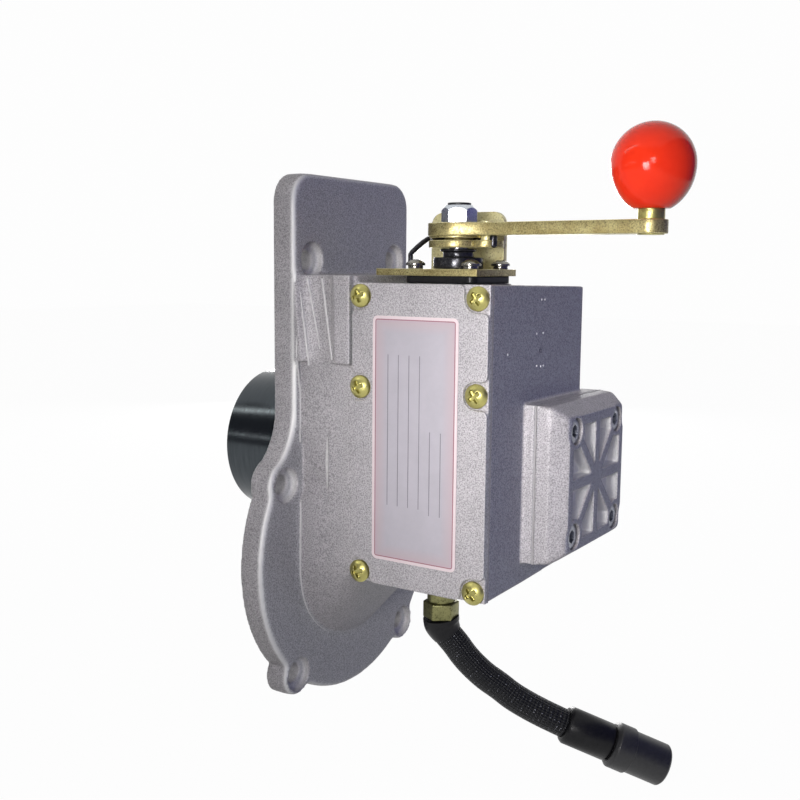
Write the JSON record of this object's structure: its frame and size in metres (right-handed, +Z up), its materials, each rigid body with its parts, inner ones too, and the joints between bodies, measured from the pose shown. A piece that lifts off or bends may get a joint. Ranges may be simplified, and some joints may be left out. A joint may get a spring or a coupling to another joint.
{
  "type": "engine governor actuator",
  "caption": "Solenoid actuator for a diesel engine's speed governor: cast flanged housing with ribbed end cap, steel solenoid can, hand stop lever with red ball knob and sleeved cable.",
  "frame": {"origin": "where the solenoid can's axis crosses the flange's mating face", "axes": "+X along the solenoid axis, out of the pump towards the end cap; -Y is the side of the box cover; +Z up, towards the stop lever"},
  "size_m": [0.2388, 0.1374, 0.2781],
  "materials": {
    "cast_alloy": "blasted, bare",
    "gasket": "matt",
    "rubber_black": "satin",
    "zinc_yellow": "yellow passivated zinc",
    "zinc_olive": "olive passivated zinc",
    "zinc_white": "white zinc",
    "black_steel": "black oxide",
    "dark_steel": "dark screw steel",
    "turned_steel": "turned",
    "plain_steel": "ground",
    "spring_steel": "oiled",
    "copper": "enamelled wire",
    "bronze": "sintered",
    "bobbin_nylon": "natural",
    "red_plastic": "glossy",
    "black_plastic": "moulded",
    "label_film": "printed film",
    "sleeve": "braided sleeve"
  },
  "bodies": {
    "housing": {"main_housing": "cast_alloy", "neck_shell": "cast_alloy", "pump_flange": "cast_alloy", "middle_lug": "cast_alloy", "side_cover": "cast_alloy", "cover_gasket": "gasket", "cover_screws": "zinc_yellow", "data_label": "label_film", "end_cap": "cast_alloy", "end_cap_gasket": "gasket", "end_cap_screws": "dark_steel", "solenoid_can": "turned_steel", "coil_bobbin": "bobbin_nylon", "coil_winding": "copper", "pole_piece": "plain_steel", "rear_bush": "bronze", "front_bush": "bronze", "return_spring": "spring_steel", "bearing_plate": "zinc_yellow", "plate_gasket": "rubber_black", "plate_screws": "black_steel", "plate_washers": "black_steel", "shaft_bush": "black_plastic", "shaft_seal": "rubber_black", "torsion_spring": "spring_steel", "gland_body": "zinc_olive", "gland_nut": "zinc_olive", "cable": "sleeve", "cable_boot": "rubber_black", "connector": "black_plastic"},
    "stop_lever": {"stop_shaft": "plain_steel", "stop_finger": "plain_steel", "lower_disc": "zinc_yellow", "lever_arm": "zinc_yellow", "stop_pin": "zinc_yellow", "lever_nut": "zinc_white", "nut_ring": "black_plastic", "knob_stem": "zinc_yellow", "ball_knob": "red_plastic"},
    "rod": {"plunger": "plain_steel", "push_rod": "plain_steel", "stop_collar": "plain_steel", "spring_seat": "plain_steel"}
  },
  "joints": [
    {"name": "stop_lever_turn", "type": "hinge", "parent": "housing", "child": "stop_lever", "pos_m": [0.07285, -0.0343, 0.1], "axis": [0, 0, 1], "range_deg": [0, 35], "stiffness_Nm_per_rad": 0.3, "springref_deg": -20.05, "deforming": ["torsion_spring"]},
    {"name": "rod_slide", "type": "slide", "parent": "housing", "child": "rod", "axis": [1, 0, 0], "range_m": [0, 0.015], "stiffness_N_per_m": 400, "springref_m": -0.01, "deforming": ["return_spring"]}
  ]
}
